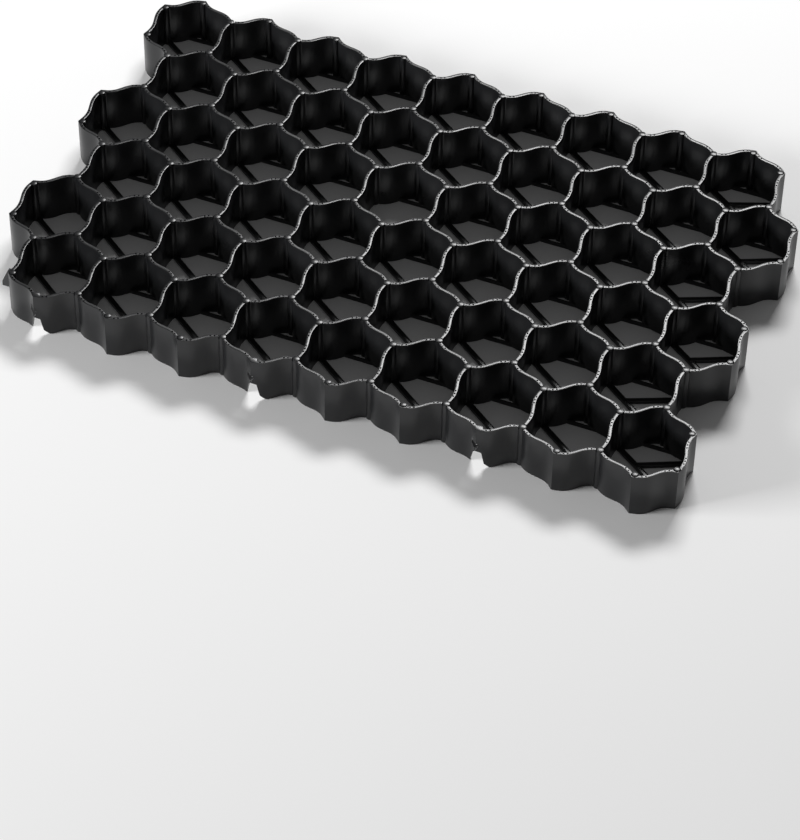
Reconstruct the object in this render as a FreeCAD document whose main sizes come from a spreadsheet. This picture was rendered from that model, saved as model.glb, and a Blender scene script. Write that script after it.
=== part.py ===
"""Grass paver grid: one moulded plastic panel of wavy-walled hexagonal cells.

The row frame has its origin at the middle of the underside, +X along the rows of cells,
+Y from the front row to the back row and +Z up. Sizes are in millimetres.
"""
import FreeCAD, Part
import math
import os

NODE = "paver_grid"

SIZES = (
    ("cells_across", 9),
    ("cell_rows", 6),
    ("cell_pitch", 63),
    ("side_wall_length", 45),
    ("panel_height", 40),
    ("wall_thickness", 2.4),
    ("wave_depth", 2.2),
    ("wave_steps", 6),
    ("post_radius", 2.3),
    ("outer_post_inset", 4.2),
    ("floor_bar_height", 3),
    ("diagonal_bar_width", 4),
    ("diagonal_bar_inset", 1),
    ("corner_bar_width", 2),
    ("corner_bar_setback", 8),
    ("edge_brace_start", 14.5),
    ("edge_brace_end", 24.5),
    ("notch_height", 17),
    ("notch_left", 6),
    ("notch_right", 7),
    ("notch_chamfer", 4.5),
    ("notch_spacing", 3),
    ("slot_length", 4.5),
    ("slot_height", 5),
    ("slot_web", 2),
    ("lug_reach", 6),
    ("lug_thickness", 4),
    ("lug_setback", 1),
    ("lug_drop", 17.5),
    ("lug_nose", 4.5),
)

# Going round a cell anticlockwise from its back corner: half pitches across, levels down.
CELL_CORNERS = ((0, 0), (-1, 1), (-1, 2), (0, 3), (1, 2), (1, 1))

# Cells, as row and column, that the mould leaves without one of the floor bars.
NO_DIAGONAL_BAR = {(2, 4)}
NO_CORNER_BAR = {(2, 0), (4, 0)}

# Room for a cutting solid to run past the face that it opens.
OVERRUN = 5.0

# Share of the first step of a wall's wave that a post may take.
POST_ROOM = 0.9


def new_sheet(doc):
    """Spreadsheet with one named cell for each driving size."""
    sheet = doc.addObject("Spreadsheet::Sheet", "Sizes")
    for row, (name, value) in enumerate(SIZES, start=1):
        sheet.set("A%d" % row, name)
        sheet.set("B%d" % row, str(value))
        sheet.setAlias("B%d" % row, name)
    doc.recompute()
    return sheet


def left_of(vector):
    return FreeCAD.Vector(-vector.y, vector.x, 0)


def unit(vector):
    return vector * (1 / vector.Length)


class Lattice:
    """Places of the cells and of the corners where their walls meet."""

    def __init__(self, sheet):
        self.across = int(sheet.cells_across)
        self.rows = int(sheet.cell_rows)
        self.pitch = float(sheet.cell_pitch)
        self.side = float(sheet.side_wall_length)
        self.rise = self.pitch / 2 * math.tan(math.radians(30))
        self.row_pitch = self.side + self.rise
        self.middle = FreeCAD.Vector(
            (self.across - 0.5) / 2 * self.pitch, -(self.rows - 1) / 2 * self.row_pitch, 0
        )

    def cells(self):
        return [(row, column) for row in range(self.rows) for column in range(self.across)]

    def corners(self, cell):
        """Keys of a cell's six corners, anticlockwise from the back one."""
        row, column = cell
        return [(2 * column + row % 2 + dx, 2 * row + dy) for dx, dy in CELL_CORNERS]

    def point(self, corner):
        half_pitches, level = corner
        y = self.side / 2 - level // 2 * self.row_pitch
        if level % 2 == 0:
            y += self.rise
        return FreeCAD.Vector(half_pitches * self.pitch / 2, y, 0) - self.middle

    def walls(self, cell):
        """Directed walls of one cell, anticlockwise."""
        keys = self.corners(cell)
        return list(zip(keys, keys[1:] + keys[:1]))

    def all_walls(self):
        return [wall for cell in self.cells() for wall in self.walls(cell)]

    def perimeter(self):
        """Walls with a cell on one side only, chained anticlockwise."""
        directed = set(self.all_walls())
        following = {a: (a, b) for a, b in directed if (b, a) not in directed}
        wall = following[min(following)]
        chain = [wall]
        while wall[1] != chain[0][0]:
            wall = following[wall[1]]
            chain.append(wall)
        return chain

    def junctions(self):
        """Corners where three walls meet."""
        neighbours = {}
        for a, b in self.all_walls():
            neighbours.setdefault(a, set()).add(b)
            neighbours.setdefault(b, set()).add(a)
        return {corner for corner, others in neighbours.items() if len(others) == 3}


class WavyWall:
    """Centre line of one wall: a full sine wave between two corners.

    Leaving either end, the wall first bulges to the right of the way walked.
    """

    def __init__(self, start, end, depth):
        self.start = start
        self.length = (end - start).Length
        self.along = unit(end - start)
        self.side = left_of(self.along)
        self.depth = depth

    def at(self, share, offset=0.0):
        """Point at a share of the length, offset to the left of the centre line."""
        turn = 2 * math.pi * share
        middle = (
            self.start + self.along * (share * self.length) - self.side * (self.depth * math.sin(turn))
        )
        return middle + left_of(self.tangent(share)) * offset

    def tangent(self, share):
        slope = 2 * math.pi * self.depth / self.length * math.cos(2 * math.pi * share)
        return unit(self.along - self.side * slope)


def line_crossing(first_point, first_way, second_point, second_way):
    """Point where two flat lines cross."""
    between = second_point - first_point
    scale = first_way.x * second_way.y - first_way.y * second_way.x
    along = (between.x * second_way.y - between.y * second_way.x) / scale
    return first_point + first_way * along


def post_corner(place, before, after, offset, post_radius, inset, room):
    """Points round the post at a corner, from the wall before it to the wall after it.

    A post at a junction ends in one point. A post at an outer corner stands inset from it,
    along the line that halves its 120 degrees, and ends in a flat. Neither takes more than
    the given room of a wall's length.
    """
    if inset:
        reach = min(inset / 2 + post_radius, room)
    else:
        reach = min(math.sqrt(max(post_radius * post_radius - offset * offset, 0)), room)
    end = before.at(1, offset) - before.tangent(1) * reach
    start = after.at(0, offset) + after.tangent(0) * reach
    inward = unit((end - place) + (start - place))
    if not inset:
        return [end, place + inward * post_radius, start]
    flat = post_radius * math.sqrt(0.5)
    nose = place + inward * (inset + flat)
    aside = left_of(inward) * flat
    return [end, nose + aside, nose - aside, start]


def sharp_corner(before, after, offset):
    """Point where the faces of the walls before and after a corner meet."""
    return [line_crossing(before.at(1, offset), before.tangent(1), after.at(0, offset), after.tangent(0))]


def wavy_outline(lattice, walls, posts, sheet, offset):
    """Points of the outline along one side of a ring of walls.

    It goes round the posts at the corners that posts names, each with the inset of its post.
    """
    places = [lattice.point(a) for a, _ in walls]
    ends = places[1:] + places[:1]
    depth = float(sheet.wave_depth)
    steps = int(sheet.wave_steps)
    radius = float(sheet.post_radius)
    lines = [WavyWall(start, end, depth) for start, end in zip(places, ends)]
    room = POST_ROOM * min(line.length for line in lines) / steps
    points = []
    for i, line in enumerate(lines):
        if walls[i][0] in posts:
            inset = posts[walls[i][0]]
            points += post_corner(places[i], lines[i - 1], line, offset, radius, inset, room)
        else:
            points += sharp_corner(lines[i - 1], line, offset)
        points += [line.at(step / steps, offset) for step in range(1, steps)]
    return points


def closed(points):
    return Part.makePolygon(points + points[:1])


def strip(start, end, width):
    """Flat rectangle of a given width along a line."""
    side = left_of(unit(end - start)) * (width / 2)
    return Part.Face(closed([start + side, start - side, end - side, end + side]))


def crossing_at(wall, drop):
    """Point of a wall's centre line a given way below the wall's first corner."""
    low, high = 0.0, 1.0
    for _ in range(40):
        share = (low + high) / 2
        if wall.start.y - wall.at(share).y < drop:
            low = share
        else:
            high = share
    return wall.at(low)


def floor_bars(lattice, cell, sheet):
    """Bars across one cell's floor: corner to corner, across the back corner, and a brace at the edge."""
    back, upper_left, _, _, lower_right, upper_right = map(lattice.point, lattice.corners(cell))
    depth = float(sheet.wave_depth)
    diagonal_width = float(sheet.diagonal_bar_width)
    bars = []
    if cell not in NO_DIAGONAL_BAR:
        inset = unit(lower_right - upper_left) * float(sheet.diagonal_bar_inset)
        bars.append(strip(upper_left + inset, lower_right - inset, diagonal_width))
    if cell not in NO_CORNER_BAR:
        setback = float(sheet.corner_bar_setback)
        left_end = crossing_at(WavyWall(back, upper_left, depth), setback)
        right_end = crossing_at(WavyWall(back, upper_right, depth), setback)
        bars.append(strip(left_end, right_end, float(sheet.corner_bar_width)))
    if cell[1] == lattice.across - 1:
        start = crossing_at(WavyWall(back, upper_right, depth), float(sheet.edge_brace_start))
        end = upper_left + unit(lower_right - upper_left) * float(sheet.edge_brace_end)
        bars.append(strip(start, end, diagonal_width))
    return bars


def extruded(doc, name, faces, way, length):
    """Prism on flat faces, its length bound to the sheet."""
    profile = doc.addObject("Part::Feature", name + "Profile")
    profile.Shape = Part.makeCompound(faces)
    prism = doc.addObject("Part::Extrusion", name)
    prism.Base = profile
    prism.DirMode = "Custom"
    prism.Dir = way
    prism.Solid = True
    prism.setExpression("LengthFwd", length)
    return prism


def upright(place, outline):
    """Face in the plane through a place that faces the front, from offsets to the right and heights."""
    points = [FreeCAD.Vector(place.x + across, place.y, height) for across, height in outline]
    return Part.Face(closed(points))


def notch_faces(lattice, sheet):
    """Profiles of the notch and the latch slot at the front corners of every few front cells."""
    left = float(sheet.notch_left)
    right = float(sheet.notch_right)
    top = float(sheet.notch_height)
    chamfer = float(sheet.notch_chamfer)
    slot_foot = top + float(sheet.slot_web)
    slot_top = slot_foot + float(sheet.slot_height)
    slot_length = float(sheet.slot_length)
    notch = (
        (-left, -OVERRUN), (right + chamfer, -OVERRUN), (right + chamfer, 0), (right, chamfer),
        (right - chamfer / 2, top - chamfer / 4), (0, top), (-left / 2, top - chamfer), (-left, 0),
    )
    slot = ((-slot_length, slot_foot), (0, slot_foot), (0, slot_top), (-slot_length, slot_top))
    faces = []
    for column in range(0, lattice.across, int(sheet.notch_spacing)):
        corner = lattice.point(lattice.corners((lattice.rows - 1, column))[3])
        front = corner - FreeCAD.Vector(0, OVERRUN, 0)
        faces += [upright(front, notch), upright(front, slot)]
    return faces


def lug_faces(lattice, sheet):
    """Profile of the lug that hooks over the next panel, outside the front cell at the left."""
    corner = lattice.point(lattice.corners((lattice.rows - 1, 0))[2])
    place = corner + FreeCAD.Vector(0, float(sheet.lug_setback), 0)
    root = float(sheet.wave_depth)
    reach = float(sheet.lug_reach)
    top = float(sheet.panel_height)
    foot = top - float(sheet.lug_drop)
    nose = foot + float(sheet.lug_nose)
    outline = ((root, foot), (-reach, foot), (-reach, nose), (-root / 2, top), (root, top))
    return [upright(place, outline)]


def check(doc, shape):
    """Stop where an object failed or the panel isn't one valid solid."""
    for item in doc.Objects:
        if "Invalid" in item.State or "Error" in item.State:
            raise RuntimeError("%s failed: %s" % (item.Name, item.State))
    if shape.isNull() or not shape.isValid() or len(shape.Solids) != 1:
        raise RuntimeError("the panel is not one valid solid")


def main():
    doc = FreeCAD.newDocument("PaverGrid")
    sheet = new_sheet(doc)
    lattice = Lattice(sheet)
    half_wall = float(sheet.wall_thickness) / 2
    junctions = dict.fromkeys(lattice.junctions(), 0.0)
    outer_corners = {a for a, _ in lattice.perimeter()} - set(junctions)
    posts = {**junctions, **dict.fromkeys(outer_corners, float(sheet.outer_post_inset))}

    rim = wavy_outline(lattice, lattice.perimeter(), junctions, sheet, -half_wall)
    windows = [
        wavy_outline(lattice, lattice.walls(cell), posts, sheet, half_wall)
        for cell in lattice.cells()
    ]
    plan = Part.Face([closed(rim)] + [closed(window[::-1]) for window in windows])
    strips = [face for cell in lattice.cells() for face in floor_bars(lattice, cell, sheet)]

    up = FreeCAD.Vector(0, 0, 1)
    back = FreeCAD.Vector(0, 1, 0)
    walls = extruded(doc, "Walls", [plan], up, "Sizes.panel_height")
    bars = extruded(doc, "FloorBars", strips, up, "Sizes.floor_bar_height")
    lug = extruded(doc, "Lug", lug_faces(lattice, sheet), back, "Sizes.lug_thickness")
    notches = extruded(doc, "Notches", notch_faces(lattice, sheet), back, "Sizes.cell_pitch / 2 / sqrt(3)")
    doc.recompute()

    # The document's own booleans check the 54-window faces at every step and take minutes.
    panel = doc.addObject("Part::Feature", "Panel")
    panel.Label = NODE
    panel.Shape = walls.Shape.fuse([bars.Shape, lug.Shape]).cut(notches.Shape).removeSplitter()
    shape = panel.Shape
    check(doc, shape)

    os.makedirs("parts", exist_ok=True)
    shape.exportStep(os.path.join("parts", NODE + ".step"))
    box = shape.BoundBox
    print("volume %.0f mm3" % shape.Volume)
    print("box %.2f x %.2f x %.2f" % (box.XLength, box.YLength, box.ZLength))
    print("facets", len(shape.tessellate(0.144)[1]))


main()
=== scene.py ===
import math

import bpy
from mathutils import Matrix, Vector
from mathutils.geometry import delaunay_2d_cdt


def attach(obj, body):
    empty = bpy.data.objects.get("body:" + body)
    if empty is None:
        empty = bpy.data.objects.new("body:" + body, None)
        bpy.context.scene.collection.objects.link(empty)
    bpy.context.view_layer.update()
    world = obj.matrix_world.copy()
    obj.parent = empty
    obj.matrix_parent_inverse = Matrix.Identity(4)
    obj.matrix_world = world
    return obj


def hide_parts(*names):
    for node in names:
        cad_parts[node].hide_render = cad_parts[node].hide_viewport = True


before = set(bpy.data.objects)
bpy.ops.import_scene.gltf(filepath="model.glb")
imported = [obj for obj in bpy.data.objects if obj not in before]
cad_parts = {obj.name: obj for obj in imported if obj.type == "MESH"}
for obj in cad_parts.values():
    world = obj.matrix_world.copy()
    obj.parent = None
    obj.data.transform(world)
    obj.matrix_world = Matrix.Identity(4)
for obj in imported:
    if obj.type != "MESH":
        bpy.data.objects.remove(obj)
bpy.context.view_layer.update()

MM = 0.001

# The panel's sizes, as in the part's source, in millimetres.
COLUMNS, ROWS = 9, 6
PITCH = 63.0
SIDE = 45.0
RISE = PITCH / 2 * math.tan(math.radians(30))
ROW_PITCH = SIDE + RISE
HEIGHT = 40.0
BAR_HEIGHT = 3.0
BAR_WIDTH = 4.0
CORNER_BAR_WIDTH = 2.0
CORNER_BAR_SETBACK = 8.0
BRACE_START, BRACE_END = 14.5, 24.5
NOTCH_SPACING = 3
LUG_SETBACK, LUG_THICKNESS = 1.0, 4.0

# Cells, by row from the back and column from the left, that miss a bar.
MARKED_CELL = (2, 4)
NO_DIAGONAL_BAR = {MARKED_CELL}
NO_CORNER_BAR = {(2, 0), (4, 0)}

# A cell's corners, anticlockwise from the back one, in half pitches and in levels of corners.
CELL_CORNERS = ((0, 0), (-1, 1), (-1, 2), (0, 3), (1, 2), (1, 1))

# The solid's wave is 2.2 deep, but its flat facets only reach to here.
WAVE = 1.9

# The photo's rim is a little wider than the solid's walls.
HALF_WALL = 1.35

# At an outer corner the walls meet a little inside the lattice corner, and the post stands
# further in, both turned off the bisector by the waves.
OUTER_INSET = 2.1
OUTER_POST_INSET = 4.5
OUTER_TURN = math.radians(-20)

# How finely the forms are drawn.
WALL_STEP = 2.4
POST_STEPS = 6
PAD_STEPS = 20
MARK_STEPS = 16
SHARP_ANGLE = math.radians(32)

# Softened edges: the underside's chamfer, and the rim's rounding with its middle point.
RIM_TOP = HEIGHT - 0.3
FOOT_CHAMFER = 0.2
EDGE = 0.16
EDGE_MIDDLE = 0.29

# Posts: each carries a pad that stands in a recess, whose floor falls away from the pad.
PAD_RADIUS = 2.8
OUTER_PAD_RADIUS = 2.4
PAD_EDGE = 0.2
PAD_EDGE_MIDDLE = 0.06
POST_MARGIN = 0.5
POST_CLEARANCE = 4.6
RECESS_MARGIN = 0.65
RECESS_DEPTHS = (0.9, 2.6)

# Dimples on the rim, at shares of a wall's length.
DIMPLE_RADIUS = 0.82
DIMPLE_DEPTH = 2.0
DIMPLE_SIDES = 6
SIDE_WALL_DIMPLES = (0.235, 0.31, 0.385, 0.635, 0.71, 0.785)
SLANTED_WALL_DIMPLES = (0.19, 0.28, 0.73, 0.82)

# Bars: a bead along each upper edge, by its width, its shoulders' drop and the groove beside it.
BEAD_WIDTH = 1.0
BEAD_SHARE = 0.8
BEAD_SHOULDER = 0.13
BEAD_GROOVE = 0.5
BAR_CHAMFER = 0.35
BAR_END_GAP = 1.0

# Sections at the edge, across and up from a lattice corner. The cuts start in front of the wall.
NOTCH = ((-6, -5), (11.5, -5), (11.5, 0), (7, 4.5), (4.75, 15.875), (0, 17), (-3, 12.5), (-6, 0))
SLOT = ((-4.5, 20.5), (0.3, 17.8), (1.6, 20), (2.8, 23.5), (0.2, 25), (-2.2, 24.2), (-4.5, 27))
CUT_START = 5.0
LUG_TOP = RIM_TOP - 0.3
LUG = ((2.4, 22.6), (-5.85, 22.6), (-5.85, 27.0), (-0.4, LUG_TOP), (2.4, LUG_TOP))

# Moulding marks: index of the cell's wall, share of its length, height and radius.
MARKS = ((0, 0.82, 11.0, 2.4), (5, 0.68, 10.0, 1.7))
MARK_SINK = 0.3


def corner_keys(row, column):
    return [(2 * column + row % 2 + dx, 2 * row + dy) for dx, dy in CELL_CORNERS]


def corner_place(key):
    """A lattice corner's place in the plan."""
    across, level = key
    x = across * PITCH / 2 - (COLUMNS - 0.5) / 2 * PITCH
    y = SIDE / 2 - level // 2 * ROW_PITCH
    if level % 2 == 0:
        y += RISE
    return Vector((x, y + (ROWS - 1) / 2 * ROW_PITCH))


def left_of(way):
    return Vector((-way.y, way.x))


class Wall:
    """Wavy wall between two places."""

    def __init__(self, start, end):
        self.start = start
        self.length = (end - start).length
        self.along = (end - start).normalized()
        self.side = left_of(self.along)

    def tangent(self, share):
        slope = 2 * math.pi * WAVE / self.length * math.cos(2 * math.pi * share)
        return (self.along - self.side * slope).normalized()

    def at(self, share, offset=0.0):
        bulge = WAVE * math.sin(2 * math.pi * share)
        middle = self.start + self.along * (share * self.length) - self.side * bulge
        return middle + left_of(self.tangent(share)) * offset


CELLS = [(row, column) for row in range(ROWS) for column in range(COLUMNS)]
CELL_WALLS = {}
CELLS_AT = {}
for cell in CELLS:
    keys = corner_keys(*cell)
    CELL_WALLS[cell] = list(zip(keys, keys[1:] + keys[:1]))
    for key in keys:
        CELLS_AT.setdefault(key, []).append(cell)
DIRECTED = {wall for walls in CELL_WALLS.values() for wall in walls}
SINGLE = sorted({tuple(sorted(wall)) for wall in DIRECTED})
NOTCHED = {corner_keys(ROWS - 1, column)[3] for column in range(0, COLUMNS, NOTCH_SPACING)}


def is_outer(key):
    """Whether only one cell has this corner."""
    return len(CELLS_AT[key]) == 1


def inset_place(key, inset):
    """A corner's place, moved into its cell where only one cell has that corner."""
    place = corner_place(key)
    if not is_outer(key):
        return place
    keys = corner_keys(*CELLS_AT[key][0])
    middle = (corner_place(keys[0]) + corner_place(keys[3])) / 2
    return place + Matrix.Rotation(OUTER_TURN, 2) @ (middle - place).normalized() * inset


def pad_radius(key):
    return OUTER_PAD_RADIUS if is_outer(key) else PAD_RADIUS


WALL_ENDS = {key: inset_place(key, OUTER_INSET) for key in sorted(CELLS_AT)}
POSTS = {key: inset_place(key, OUTER_POST_INSET) for key in sorted(CELLS_AT)}
PADDED = [key for key in POSTS if key not in NOTCHED]


def wall_between(first, second):
    return Wall(WALL_ENDS[first], WALL_ENDS[second])


def perimeter():
    """The outermost walls, end to end."""
    following = {a: (a, b) for a, b in DIRECTED if (b, a) not in DIRECTED}
    wall = following[min(following)]
    chain = [wall]
    while wall[1] != chain[0][0]:
        wall = following[wall[1]]
        chain.append(wall)
    return chain


def post_arc(before, after, offset, centre, radius):
    """Arc round a post between two walls, on the side of them that the offset gives."""
    corner = before.at(1, offset) - centre
    across = corner.dot(before.tangent(1))
    neck = across + math.sqrt(across * across - corner.length_squared + radius * radius)
    first = corner - before.tangent(1) * neck
    side = math.copysign(1, offset)
    middle_way = (left_of(before.tangent(1)) + left_of(after.tangent(0))).normalized() * side
    half_turn = abs(middle_way.angle_signed(first)) * side
    points = []
    for step in range(POST_STEPS + 1):
        angle = half_turn * (1 - 2 * step / POST_STEPS)
        way = middle_way * math.cos(angle) + left_of(middle_way) * math.sin(angle)
        points.append(centre + way * radius)
    return points


def sharp_corner(before, after, offset):
    """Where the faces of two walls meet."""
    first, second = before.at(1, offset), after.at(0, offset)
    way = after.tangent(0)
    share = (second - first).cross(way) / before.tangent(1).cross(way)
    return first + before.tangent(1) * share


def outline(walls, offset):
    """Points along one side of a ring of walls, round the posts that stand on that side."""
    lines = [wall_between(a, b) for a, b in walls]
    points = []
    for index, line in enumerate(lines):
        key = walls[index][0]
        if offset < 0 and is_outer(key):
            points.append(sharp_corner(lines[index - 1], line, offset))
        else:
            radius = pad_radius(key) + POST_MARGIN
            points += post_arc(lines[index - 1], line, offset, POSTS[key], radius)
        steps = round(line.length / WALL_STEP)
        clear = POST_CLEARANCE / line.length
        for step in range(1, steps):
            if clear < step / steps < 1 - clear:
                points.append(line.at(step / steps, offset))
    return points


class Mesh:
    """Vertices in millimetres and faces, gathered for one object."""

    def __init__(self):
        self.vertices = []
        self.faces = []

    def ring(self, points):
        first = len(self.vertices)
        self.vertices += [tuple(point) for point in points]
        return list(range(first, len(self.vertices)))

    def band(self, low, high):
        for i in range(len(low)):
            j = (i + 1) % len(low)
            self.faces.append((low[i], low[j], high[j], high[i]))

    def prism(self, section, way):
        """Closed prism on a flat outline, anticlockwise about the way that it is moved."""
        near = self.ring(section)
        far = self.ring([Vector(point) + way for point in section])
        self.band(near, far)
        self.faces.append(tuple(reversed(near)))
        self.faces.append(tuple(far))

    def fill(self, rings, upward):
        """Flat face between rings: inside the first one and outside the others."""
        ids = [index for ring in rings for index in ring]
        places = {index: place for place, index in enumerate(ids)}
        points = [Vector(self.vertices[index]).to_2d() for index in ids]
        loops = [[places[index] for index in ring] for ring in rings]
        inside_with_holes = 2
        closeness = 1e-5
        result = delaunay_2d_cdt(points, [], loops, inside_with_holes, closeness)
        faces, sources = result[2], result[3]
        for face in faces:
            corners = tuple(ids[sources[index][0]] for index in face)
            self.faces.append(corners if upward else corners[::-1])

    def lathe(self, origin, across, up, out, profile, steps):
        """Turned form about the way out: profile is radius and height, from its foot."""
        rings = []
        for radius, height in profile:
            points = []
            for step in range(steps):
                angle = 2 * math.pi * step / steps
                way = across * math.cos(angle) + up * math.sin(angle)
                points.append(origin + way * radius + out * height)
            rings.append(self.ring(points))
        for low, high in zip(rings, rings[1:]):
            self.band(low, high)
        self.faces.append(tuple(reversed(rings[0])))
        self.faces.append(tuple(rings[-1]))

    def turned_up(self, place, profile, steps):
        """Turned form that stands upright at a place of the plan."""
        x, y, z = Vector((1, 0, 0)), Vector((0, 1, 0)), Vector((0, 0, 1))
        self.lathe(place.to_3d(), x, y, z, profile, steps)

    def object(self, name):
        mesh = bpy.data.meshes.new(name)
        mesh.from_pydata([Vector(v) * MM for v in self.vertices], [], self.faces)
        mesh.validate()
        mesh.shade_smooth()
        mesh.set_sharp_from_angle(angle=SHARP_ANGLE)
        piece = bpy.data.objects.new(name, mesh)
        bpy.context.scene.collection.objects.link(piece)
        return piece


def mitres(points):
    """Unit offsets to the left of a loop, longer at corners so that the edge keeps its width."""
    result = []
    for index, point in enumerate(points):
        before = left_of((point - points[index - 1]).normalized())
        after = left_of((points[(index + 1) % len(points)] - point).normalized())
        middle = (before + after).normalized()
        result.append(middle / max(middle.dot(before), 0.5))
    return result


def dimple_rings():
    """Plan outlines of the small dimples along the rim, clockwise."""
    rings = []
    for a, b in SINGLE:
        wall = wall_between(a, b)
        is_side_wall = abs(wall.along.x) < 0.1
        for share in SIDE_WALL_DIMPLES if is_side_wall else SLANTED_WALL_DIMPLES:
            middle = wall.at(share)
            ring = []
            for step in range(DIMPLE_SIDES):
                angle = -2 * math.pi * step / DIMPLE_SIDES
                ring.append(middle + Vector((math.cos(angle), math.sin(angle))) * DIMPLE_RADIUS)
            rings.append(ring)
    return rings


def wall_mesh():
    """The walls as one closed shell: rim, faces with softened edges, underside."""
    mesh = Mesh()
    loops = [outline(perimeter(), -HALF_WALL)]
    loops += [outline(CELL_WALLS[cell], HALF_WALL)[::-1] for cell in CELLS]
    heights_and_insets = (
        (0.0, FOOT_CHAMFER),
        (FOOT_CHAMFER, 0.0),
        (RIM_TOP - EDGE, 0.0),
        (RIM_TOP - EDGE_MIDDLE * EDGE, EDGE_MIDDLE * EDGE),
        (RIM_TOP, EDGE),
    )
    top, bottom = [], []
    for points in loops:
        shifts = mitres(points)
        rings = []
        for z, inset in heights_and_insets:
            ring = [(p.x + s.x * inset, p.y + s.y * inset, z) for p, s in zip(points, shifts)]
            rings.append(mesh.ring(ring))
        for low, high in zip(rings, rings[1:]):
            mesh.band(low, high)
        bottom.append(rings[0])
        top.append(rings[-1])
    for ring in dimple_rings():
        mouth = mesh.ring([(p.x, p.y, RIM_TOP) for p in ring])
        foot = mesh.ring([(p.x, p.y, RIM_TOP - DIMPLE_DEPTH) for p in ring])
        mesh.band(foot, mouth)
        mesh.faces.append(tuple(reversed(foot)))
        top.append(mouth)
    mesh.fill(top, upward=True)
    mesh.fill(bottom, upward=False)
    return mesh


def apply_cut(piece, cutter):
    """Takes the cutter out of a piece and drops the cutter."""
    cut = piece.modifiers.new("cut", "BOOLEAN")
    cut.operation = "DIFFERENCE"
    cut.solver = "EXACT"
    cut.object = cutter
    shaped = piece.evaluated_get(bpy.context.evaluated_depsgraph_get())
    mesh = bpy.data.meshes.new_from_object(shaped)
    piece.modifiers.clear()
    piece.data = mesh
    piece.data.set_sharp_from_angle(angle=SHARP_ANGLE)
    bpy.data.objects.remove(cutter)


def cutter_mesh():
    """Cutters for the notches and latch slots at the front, and for the recesses on the posts."""
    mesh = Mesh()
    for key in sorted(NOTCHED):
        corner = corner_place(key)
        for section in (NOTCH, SLOT):
            points = []
            for across, z in reversed(section):
                points.append(Vector((corner.x + across, corner.y - CUT_START, z)))
            mesh.prism(points, Vector((0, RISE, 0)))
    for key in PADDED:
        radius = pad_radius(key)
        outer = radius + RECESS_MARGIN
        profile = (
            (radius - PAD_EDGE, RIM_TOP - RECESS_DEPTHS[0]),
            (outer, RIM_TOP - RECESS_DEPTHS[1]),
            (outer, HEIGHT + 1),
        )
        mesh.turned_up(POSTS[key], profile, PAD_STEPS)
    return mesh


def lug_mesh():
    """The lug outside the left wall of the front left cell."""
    mesh = Mesh()
    corner = corner_place(corner_keys(ROWS - 1, 0)[2])
    points = [Vector((corner.x + across, corner.y + LUG_SETBACK, z)) for across, z in LUG]
    mesh.prism(points, Vector((0, LUG_THICKNESS, 0)))
    return mesh


def add_bar(mesh, start, end, width, height):
    """Bar that lies on the floor, with a rounded bead along both upper edges."""
    side = left_of((end - start).normalized())
    half = width / 2
    bead = min(BEAD_WIDTH, BEAD_SHARE * half)
    right = (
        (half, 0),
        (half, height - BAR_CHAMFER),
        (half - 0.1 * bead, height - BEAD_SHOULDER),
        (half - 0.5 * bead, height),
        (half - 0.9 * bead, height - BEAD_SHOULDER),
        (half - 1.1 * bead, height - BEAD_GROOVE),
    )
    section = right + tuple((-across, z) for across, z in reversed(right))
    points = [Vector((start.x + side.x * across, start.y + side.y * across, z)) for across, z in section]
    mesh.prism(points, Vector((end.x - start.x, end.y - start.y, 0)))


def fall_to(wall, drop):
    """Point of a wall's centre line that lies a given way in front of the wall's first corner."""
    low, high = 0.0, 1.0
    for _ in range(40):
        share = (low + high) / 2
        if wall.start.y - wall.at(share).y < drop:
            low = share
        else:
            high = share
    return wall.at(low)


def floor_mesh():
    """The bars on the floor of every cell, and the brace in the last cell of each row."""
    mesh = Mesh()
    for cell in CELLS:
        back, upper_left, _, _, lower_right, upper_right = corner_keys(*cell)
        start, end = WALL_ENDS[upper_left], WALL_ENDS[lower_right]
        way = (end - start).normalized()
        if cell not in NO_DIAGONAL_BAR:
            gap = way * BAR_END_GAP
            add_bar(mesh, start + gap, end - gap, BAR_WIDTH, BAR_HEIGHT)
        if cell not in NO_CORNER_BAR:
            left_end = fall_to(wall_between(back, upper_left), CORNER_BAR_SETBACK)
            right_end = fall_to(wall_between(back, upper_right), CORNER_BAR_SETBACK)
            add_bar(mesh, left_end, right_end, CORNER_BAR_WIDTH, BAR_HEIGHT)
        if cell[1] == COLUMNS - 1:
            foot = fall_to(wall_between(back, upper_right), BRACE_START)
            add_bar(mesh, foot, start + way * BRACE_END, BAR_WIDTH, BAR_HEIGHT)
    return mesh


def pad_mesh():
    """The round pads that stand on the posts."""
    mesh = Mesh()
    for key in PADDED:
        radius = pad_radius(key)
        profile = (
            (radius, RIM_TOP - RECESS_DEPTHS[1]),
            (radius, HEIGHT - PAD_EDGE),
            (radius - PAD_EDGE_MIDDLE, HEIGHT - PAD_EDGE_MIDDLE),
            (radius - PAD_EDGE, HEIGHT),
        )
        mesh.turned_up(POSTS[key], profile, PAD_STEPS)
    return mesh


def mark_mesh():
    """Small moulding marks on the two back walls of one cell: rings round a shallow dish."""
    mesh = Mesh()
    for index, share, z, radius in MARKS:
        wall = wall_between(*CELL_WALLS[MARKED_CELL][index])
        tangent = wall.tangent(share).to_3d()
        inward = left_of(wall.tangent(share)).to_3d()
        origin = wall.at(share, HALF_WALL).to_3d() + Vector((0, 0, z)) - inward * MARK_SINK
        profile = (
            (radius, 0.0),
            (radius, 0.5),
            (radius - 0.25, 0.7),
            (radius - 0.6, 0.7),
            (radius - 0.8, 0.35),
        )
        mesh.lathe(origin, -tangent, Vector((0, 0, 1)), inward, profile, MARK_STEPS)
    return mesh


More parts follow.
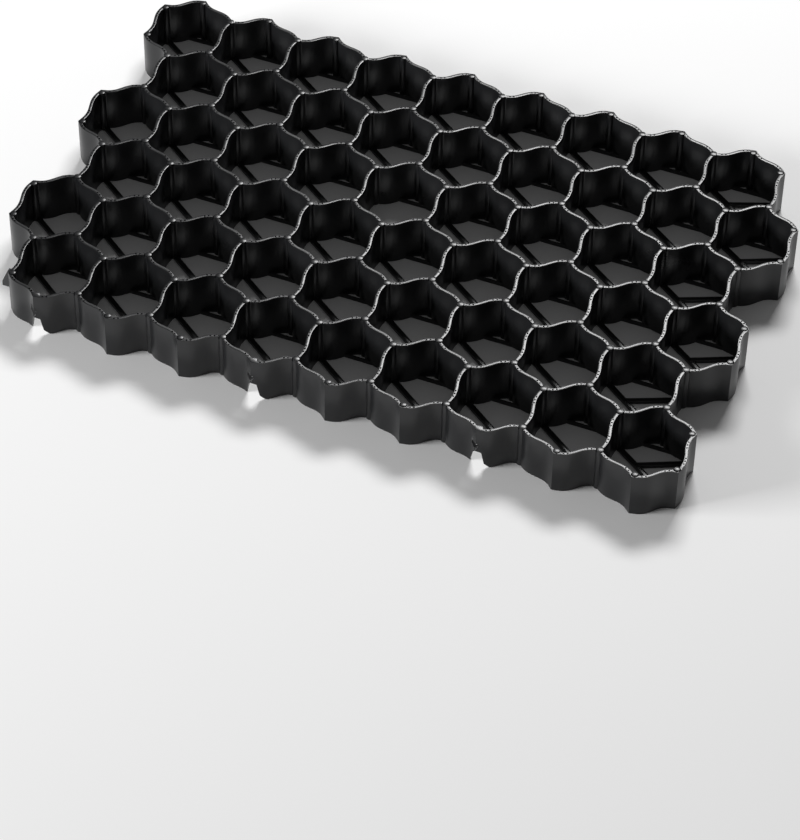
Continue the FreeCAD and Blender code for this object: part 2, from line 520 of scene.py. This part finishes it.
def plastic(name):
    """Satin black plastic: cloudy colour and sheen, with a fine grain."""
    material = bpy.data.materials.new(name)
    material.use_nodes = True
    nodes, links = material.node_tree.nodes, material.node_tree.links
    nodes.clear()
    output = nodes.new("ShaderNodeOutputMaterial")
    shader = nodes.new("ShaderNodeBsdfPrincipled")
    links.new(shader.outputs["BSDF"], output.inputs["Surface"])
    place = nodes.new("ShaderNodeTexCoord")

    cloud = nodes.new("ShaderNodeTexNoise")
    cloud.inputs["Scale"].default_value = 22.0
    cloud.inputs["Detail"].default_value = 4.0
    links.new(place.outputs["Object"], cloud.inputs["Vector"])
    colour = nodes.new("ShaderNodeValToRGB")
    colour.color_ramp.elements[0].position = 0.3
    colour.color_ramp.elements[0].color = (0.0085, 0.0088, 0.0096, 1)
    colour.color_ramp.elements[1].position = 0.75
    colour.color_ramp.elements[1].color = (0.0150, 0.0155, 0.0168, 1)
    links.new(cloud.outputs["Fac"], colour.inputs["Fac"])
    links.new(colour.outputs["Color"], shader.inputs["Base Color"])

    grain = nodes.new("ShaderNodeTexNoise")
    grain.inputs["Scale"].default_value = 900.0
    grain.inputs["Detail"].default_value = 3.0
    links.new(place.outputs["Object"], grain.inputs["Vector"])
    rough = nodes.new("ShaderNodeMapRange")
    rough.inputs["To Min"].default_value = 0.24
    rough.inputs["To Max"].default_value = 0.36
    links.new(cloud.outputs["Fac"], rough.inputs["Value"])
    links.new(rough.outputs["Result"], shader.inputs["Roughness"])

    bump = nodes.new("ShaderNodeBump")
    bump.inputs["Strength"].default_value = 0.06
    bump.inputs["Distance"].default_value = 0.0002
    links.new(grain.outputs["Fac"], bump.inputs["Height"])
    links.new(bump.outputs["Normal"], shader.inputs["Normal"])
    shader.inputs["Specular IOR Level"].default_value = 0.5
    return material


def stage_floor():
    """Pale floor, a hair below the panel's underside."""
    half = 6.0
    corners = [(-half, -half, 0), (half, -half, 0), (half, half, 0), (-half, half, 0)]
    mesh = bpy.data.meshes.new("floor")
    mesh.from_pydata(corners, [], [(0, 1, 2, 3)])
    floor = bpy.data.objects.new("floor", mesh)
    bpy.context.scene.collection.objects.link(floor)
    floor.location.z = -0.0002
    material = bpy.data.materials.new("floor")
    material.use_nodes = True
    shader = material.node_tree.nodes["Principled BSDF"]
    shader.inputs["Base Color"].default_value = (0.95, 0.95, 0.95, 1)
    shader.inputs["Roughness"].default_value = 0.9
    shader.inputs["Specular IOR Level"].default_value = 0.1
    floor.data.materials.append(material)


def lamp(name, place, aim, width, height, radiance):
    """Softbox that shines evenly from a rectangle. At radiance 1 it would itself look white."""
    data = bpy.data.lights.new(name, "AREA")
    data.shape = "RECTANGLE"
    data.size = width
    data.size_y = height
    data.energy = radiance * math.pi * width * height
    light = bpy.data.objects.new(name, data)
    light.location = place
    light.rotation_euler = (Vector(aim) - Vector(place)).to_track_quat("-Z", "Y").to_euler()
    bpy.context.scene.collection.objects.link(light)


def camera():
    """Camera fitted to the wall junctions of the photo's top panel."""
    azimuth, elevation, roll = math.radians(21.83), math.radians(45.20), math.radians(0.97)
    focal_px, photo_width_px = 3368.0, 800
    sensor_width = 36.0
    distance = 2.576
    target = Vector((0.0845, -0.2110, 0.040))
    level = math.cos(elevation)
    back = Vector((math.sin(azimuth) * level, -math.cos(azimuth) * level, math.sin(elevation)))
    flat_right = Vector((math.cos(azimuth), math.sin(azimuth), 0))
    flat_up = back.cross(flat_right)
    right = flat_right * math.cos(roll) + flat_up * math.sin(roll)
    up = flat_up * math.cos(roll) - flat_right * math.sin(roll)
    data = bpy.data.cameras.new("camera")
    data.sensor_fit = "HORIZONTAL"
    data.sensor_width = sensor_width
    data.lens = focal_px / photo_width_px * sensor_width
    data.clip_end = 30.0
    view = bpy.data.objects.new("camera", data)
    matrix = view.matrix_world.copy()
    for column, axis in enumerate((right, up, back, target + back * distance)):
        for row in range(3):
            matrix[row][column] = axis[row]
    view.matrix_world = matrix
    bpy.context.scene.collection.objects.link(view)
    bpy.context.scene.camera = view


def surroundings(brightness):
    """Even white light from all around."""
    world = bpy.data.worlds.new("world")
    world.use_nodes = True
    background = world.node_tree.nodes["Background"]
    background.inputs["Color"].default_value = (1, 1, 1, 1)
    background.inputs["Strength"].default_value = brightness
    bpy.context.scene.world = world


walls = wall_mesh().object("panel_walls")
apply_cut(walls, cutter_mesh().object("cutter"))
bars = floor_mesh().object("floor_bars")
pads = pad_mesh().object("post_pads")
lug = lug_mesh().object("edge_lug")
marks = mark_mesh().object("mould_marks")
black = plastic("black_plastic")
for piece in (walls, bars, pads, lug, marks):
    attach(piece, "root")
    piece.data.materials.clear()
    piece.data.materials.append(black)
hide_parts("paver_grid")
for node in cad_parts.values():
    node.data.materials.clear()
    node.data.materials.append(black)

stage_floor()
camera()
lamp("back_softbox", (-0.2, 2.05, 2.26), (0.05, -0.05, 0.0), 1.2, 0.7, 28.0)
lamp("left_softbox", (-2.6, -1.9, 1.15), (0.0, -0.2, 0.0), 1.3, 0.8, 30.0)
surroundings(0.12)
bpy.context.scene.view_settings.view_transform = "Standard"
